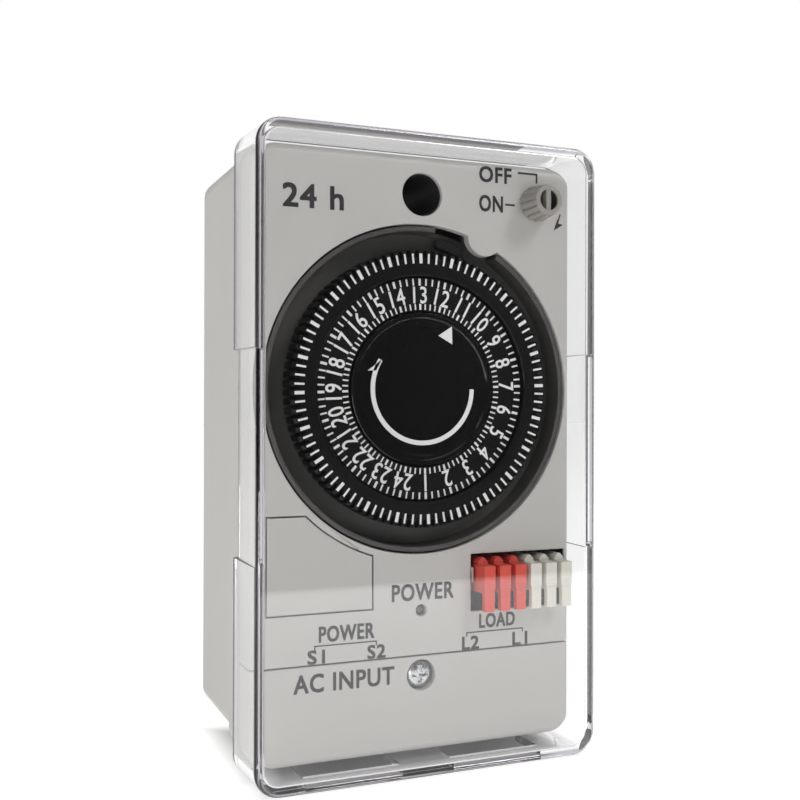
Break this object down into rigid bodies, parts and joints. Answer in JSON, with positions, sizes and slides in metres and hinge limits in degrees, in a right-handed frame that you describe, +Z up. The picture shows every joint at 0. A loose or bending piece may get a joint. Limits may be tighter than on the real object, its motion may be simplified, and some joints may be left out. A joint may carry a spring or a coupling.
{
  "type": "programmable timer",
  "caption": "Wall-mounted 24-hour programmable timer: notched program dial, setter rack and manual knob behind a clear pull-off cover, with a screw terminal bay below.",
  "frame": {"origin": "centre of the rear face, on the wall", "axes": "+X to the right seen from the front, +Y into the wall, +Z up; the dial looks towards -Y"},
  "size_m": [0.0738, 0.0515, 0.1272],
  "materials": {
    "grey_abs": "fine moulded texture, light warm grey",
    "black_plastic": "satin black moulding",
    "gloss_black": "polished black",
    "clear_cover": "clear, polished, faint cool tint",
    "red_plastic": "satin red",
    "ivory_plastic": "satin off-white",
    "white_plastic": "natural white moulding",
    "steel": "bright plated steel",
    "brass": "bright brass",
    "board_green": "solder mask over glass laminate",
    "lamp_red": "tinted clear lens"
  },
  "bodies": {
    "case": {"rear_case": "grey_abs", "front_case": "grey_abs", "label_plate": "grey_abs", "terminal_cover": "grey_abs", "terminal_cover_screw": "steel", "case_screw_1": "steel", "case_screw_2": "steel", "case_screw_3": "steel", "case_screw_4": "steel", "movement_plate": "black_plastic", "dial_bush": "brass", "intermediate_axle": "steel", "drive_motor": "steel", "gear_plate": "white_plastic", "trip_lever_pin": "steel", "snap_switch": "black_plastic", "main_board": "board_green", "power_capacitor": "red_plastic", "backup_battery": "steel", "quartz_crystal": "steel", "lamp_board": "board_green", "power_lamp": "lamp_red", "terminal_block": "black_plastic", "terminal_plate_1": "brass", "terminal_plate_2": "brass", "terminal_plate_3": "brass", "terminal_plate_4": "brass", "terminal_screw_1": "steel", "terminal_screw_2": "steel", "terminal_screw_3": "steel", "terminal_screw_4": "steel"},
    "cover": {"clear_cover": "clear_cover"},
    "dial": {"program_dial": "black_plastic", "number_ring": "black_plastic", "centre_disc": "gloss_black", "dial_spindle": "steel", "dial_gear": "white_plastic"},
    "intermediate_wheel": {"intermediate_gear": "white_plastic"},
    "motor_rotor": {"motor_pinion": "brass", "motor_shaft": "steel"},
    "trip_arm": {"trip_lever": "black_plastic"},
    "knob": {"manual_knob": "grey_abs", "knob_shaft": "steel", "switch_cam": "white_plastic"},
    "switch_arm": {"switch_lever": "steel"},
    "plunger": {"switch_plunger": "red_plastic"},
    "setter_red_1": {"setter_red_1": "red_plastic"},
    "setter_red_2": {"setter_red_2": "red_plastic"},
    "setter_red_3": {"setter_red_3": "red_plastic"},
    "setter_white_1": {"setter_white_1": "ivory_plastic"},
    "setter_white_2": {"setter_white_2": "ivory_plastic"},
    "setter_white_3": {"setter_white_3": "ivory_plastic"}
  },
  "joints": [
    {"name": "cover_slide", "type": "slide", "parent": "case", "child": "cover", "axis": [0, -1, 0], "range_m": [0, 0.06]},
    {"name": "dial_turn", "type": "hinge", "parent": "case", "child": "dial", "pos_m": [0, -0.04, 0.01285], "axis": [0, 1, 0], "continuous": true},
    {"name": "intermediate_turn", "type": "hinge", "parent": "case", "child": "intermediate_wheel", "pos_m": [0, -0.031, -0.01595], "axis": [0, 1, 0], "continuous": true},
    {"name": "motor_turn", "type": "hinge", "parent": "case", "child": "motor_rotor", "pos_m": [-0.01697, -0.03, 0.00102], "axis": [0, 1, 0], "continuous": true},
    {"name": "knob_turn", "type": "hinge", "parent": "case", "child": "knob", "pos_m": [0.0261, -0.04, 0.05216], "axis": [0, 1, 0], "continuous": true},
    {"name": "trip_swing", "type": "hinge", "parent": "case", "child": "trip_arm", "pos_m": [0.0143, -0.04, 0.04448], "axis": [0, 1, 0], "range_deg": [0, 8], "stiffness_Nm_per_rad": 0.01},
    {"name": "lever_press", "type": "hinge", "parent": "case", "child": "switch_arm", "pos_m": [0.0191, -0.0307, 0.04716], "axis": [0, 1, 0], "range_deg": [0, 5]},
    {"name": "plunger_press", "type": "slide", "parent": "case", "child": "plunger", "axis": [0, 0, -1], "range_m": [0, 0.00048], "stiffness_N_per_m": 600},
    {"name": "setter_red_1_slide", "type": "slide", "parent": "case", "child": "setter_red_1", "axis": [0, -1, 0], "range_m": [0, 0.002]},
    {"name": "setter_red_2_slide", "type": "slide", "parent": "case", "child": "setter_red_2", "axis": [0, -1, 0], "range_m": [0, 0.002]},
    {"name": "setter_red_3_slide", "type": "slide", "parent": "case", "child": "setter_red_3", "axis": [0, -1, 0], "range_m": [0, 0.002]},
    {"name": "setter_white_1_slide", "type": "slide", "parent": "case", "child": "setter_white_1", "axis": [0, -1, 0], "range_m": [0, 0.002]},
    {"name": "setter_white_2_slide", "type": "slide", "parent": "case", "child": "setter_white_2", "axis": [0, -1, 0], "range_m": [0, 0.002]},
    {"name": "setter_white_3_slide", "type": "slide", "parent": "case", "child": "setter_white_3", "axis": [0, -1, 0], "range_m": [0, 0.002]}
  ],
  "couplings": [
    {"joint": "intermediate_turn", "follows": "dial_turn", "ratio": -5},
    {"joint": "motor_turn", "follows": "dial_turn", "ratio": 20},
    {"joint": "lever_press", "follows": "plunger_press", "rad_per_m": 181.8}
  ]
}
